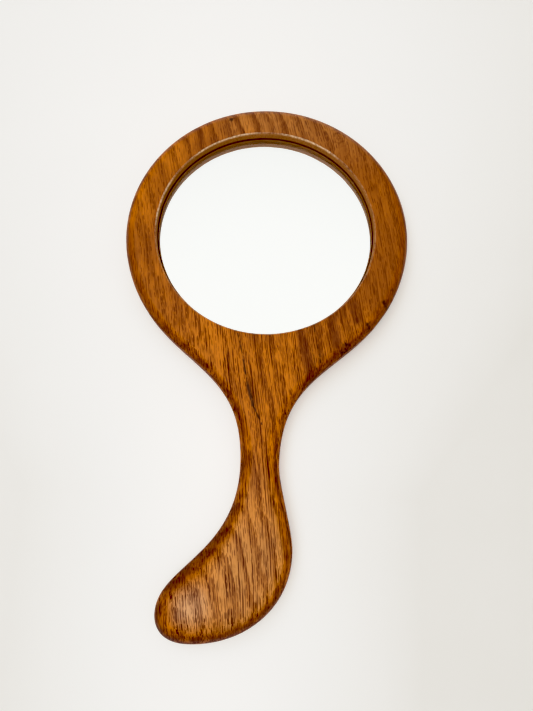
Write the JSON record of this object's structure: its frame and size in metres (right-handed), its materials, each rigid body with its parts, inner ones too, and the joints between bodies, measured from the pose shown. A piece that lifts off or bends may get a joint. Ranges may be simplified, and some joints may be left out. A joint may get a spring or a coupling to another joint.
{
  "type": "hand mirror",
  "caption": "One-piece oak hand mirror with a round recessed glass and a handle that hooks to one side.",
  "frame": {"origin": "on the back face, under the centre of the round head", "axes": "+Z out of the glass, +Y from the handle to the top of the head, +X to the right when looking into the glass; lying flat on its back"},
  "size_m": [0.167, 0.3075, 0.019],
  "materials": {
    "oak": "golden brown stain under a satin clear coat",
    "glass": "polished, ground edge",
    "silver": "silvered",
    "backing_paint": "matt protective paint",
    "mastic": "pressed dabs of mirror mastic"
  },
  "bodies": {
    "root": {"oak_body": "oak", "mirror_glass": "glass", "silver_film": "silver", "backing_paint": "backing_paint", "mastic_dab_centre": "mastic", "mastic_dab_1": "mastic", "mastic_dab_2": "mastic", "mastic_dab_3": "mastic", "mastic_dab_4": "mastic"}
  },
  "joints": []
}
